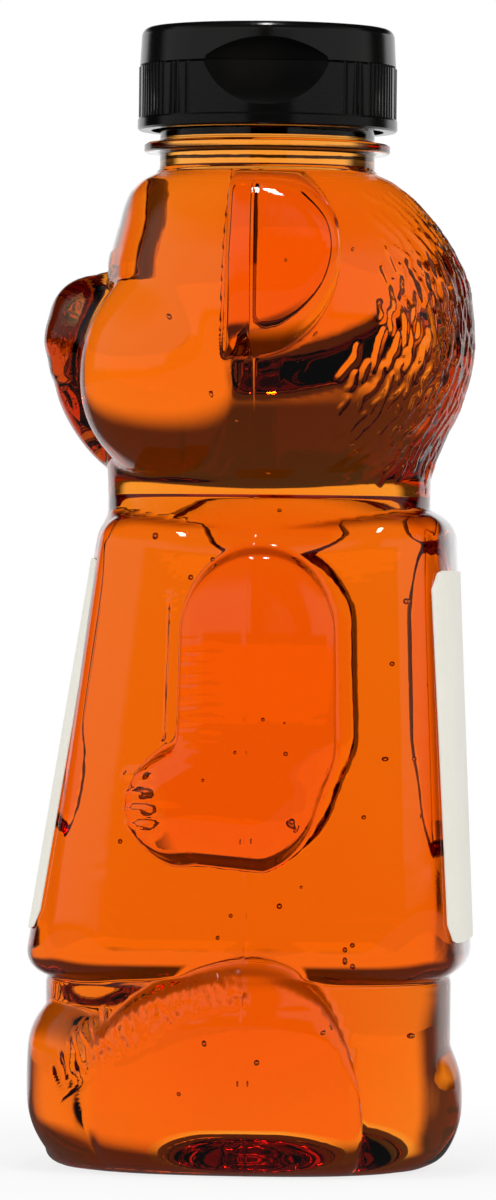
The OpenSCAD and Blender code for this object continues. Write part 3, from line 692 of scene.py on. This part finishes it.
px, py = (Paint(tree, split.outputs[k]) for k in range(2))
wide = px.maths("ABSOLUTE", px.maths("ARCTAN2", py, px)) * (180 / math.pi)
# Reflections and refractions see the table as a glow: white behind the object, with a painted shadow that darkens
# it near the object's foot, and dim grey elsewhere.
behind = wide.spread(125, 142, 0, 1) * away.spread(0.05, 0.2, 0.3, 1)
matt = place.node("BsdfDiffuse", {}, {"Color": (0.8, 0.8, 0.8, 1)})
glow = place.node("Emission", {}, {"Color": (1, 1, 1, 1), "Strength": 1.0})
dim = place.node("Emission", {}, {"Color": (0.1, 0.1, 0.1, 1), "Strength": 1.0})
direct = place.node("MixShader", {}, {0: camera_ray * away.spread(0.06, 0.2, 0.8, 1.0), 1: matt, 2: glow})
mirrored = place.node("MixShader", {}, {0: behind, 1: dim, 2: glow})
both = place.node("MixShader", {}, {0: glossy_ray + clear_ray, 1: direct, 2: mirrored})
tree.links.new(both.out, tree.nodes["Material Output"].inputs["Surface"])
floor.data.materials.append(table)

# The studio: a white backdrop behind the object and two white screens beside it, with dark
# gaps between them and a slit for the camera, as clear plastic and gloss show them.
world = bpy.data.worlds.new("studio")
bpy.context.scene.world = world
world.use_nodes = True
tree = world.node_tree
rays = tree.nodes.new("ShaderNodeLightPath")
camera_ray, glossy_ray, clear_ray = (Paint(tree, rays.outputs[f"Is {kind} Ray"])
                                     for kind in ("Camera", "Glossy", "Transmission"))
toward = Paint(tree, tree.nodes.new("ShaderNodeTexCoord").outputs["Generated"])
split = tree.nodes.new("ShaderNodeSeparateXYZ")
tree.links.new(toward.out, split.inputs[0])
dx, dy, dz = (Paint(tree, split.outputs[k]) for k in range(3))
turn = dx.maths("ARCTAN2", dy, dx) * (180 / math.pi)
wide = turn.maths("ABSOLUTE", turn)
up = dz.maths("ARCSINE", dz) * (180 / math.pi)
backdrop = wide.spread(132, 142, 0, 1) * up.spread(9, 17, 1, 0.0)
left_low = turn.spread(-16, -12, 1, 0) * up.spread(1, 4, 0, 1)
left_high = turn.spread(-6, -2, 1, 0) * up.spread(7, 10, 0, 1)
left_screen = left_low.maths("MAXIMUM", left_low, left_high) * turn.spread(-112, -100, 0, 1)
right_low = turn.spread(24, 28, 0, 1) * up.spread(1, 4, 0, 1)
right_high = turn.spread(5, 9, 0, 1) * up.spread(7, 10, 0, 1)
right_screen = right_low.maths("MAXIMUM", right_low, right_high) * turn.spread(104, 116, 1, 0)
screens = (left_screen + right_screen) * up.spread(25, 50, 1, 0.05)
glossy_view = backdrop + 0.38 * screens + 0.005
clear_view = backdrop + 0.6 * screens + 0.09


def grey(value):
    return value.node("CombineColor", {}, {0: value, 1: value, 2: value})


def either(mask, off, on):
    return mask.node("Mix", {"data_type": "RGBA"}, {0: mask, 6: off, 7: on}, give=2)


shown = either(glossy_ray, (0.5, 0.5, 0.5, 1), grey(glossy_view))
shown = either(clear_ray, shown, grey(clear_view))
shown = either(camera_ray, shown, (1, 1, 1, 1))
tree.links.new(shown.out, tree.nodes["Background"].inputs["Color"])
tree.nodes["Background"].inputs["Strength"].default_value = 1.0


def soft_box(name, place, size, power):
    data = bpy.data.lights.new(name, "AREA")
    data.shape = "RECTANGLE"
    data.size, data.size_y = size
    data.energy = power
    lamp = bpy.data.objects.new(name, data)
    bpy.context.scene.collection.objects.link(lamp)
    lamp.location = place
    lamp.rotation_euler = (Vector((0, 0, 0.1)) - Vector(place)).to_track_quat("-Z", "Y").to_euler()
    return lamp


for name, y in (("left_box", -0.7), ("right_box", 0.7)):
    box = soft_box(name, (0.6, y, 0.55), (0.5, 0.8), 4.4)
    box.visible_glossy = False
    box.visible_transmission = False
for i in range(3):
    soft_box(f"top_strip_{i + 1}", (0.03 + 0.05 * i, 0.0, 0.85), (0.03, 0.3), 0.5)

# The camera stands level with the bear's chest and looks at its left side.
azimuth, distance, eye_z, lean = math.radians(94.5), 1.3, 0.0928, math.atan(0.01014)
view_h = 0.195
picture = (496, 1200)
axis_px, eye_px = 262.8, 595.0
outward = np.array([math.sin(azimuth), -math.cos(azimuth), 0])
rightward = np.array([math.cos(azimuth), math.sin(azimuth), 0])
aside = (axis_px - picture[0] / 2) * view_h / picture[1]
camera_data = bpy.data.cameras.new("camera")
camera_data.sensor_fit = "VERTICAL"
camera_data.sensor_height = 36
camera_data.lens = 36 * distance / view_h
camera_data.shift_y = -(picture[1] / 2 - eye_px) / picture[1]
camera = bpy.data.objects.new("camera", camera_data)
bpy.context.scene.collection.objects.link(camera)
camera.location = outward * distance - rightward * aside + np.array([0, 0, eye_z])
camera.rotation_euler = (math.pi / 2, -lean, azimuth)
bpy.context.scene.camera = camera
bpy.context.scene.view_settings.view_transform = "Standard"
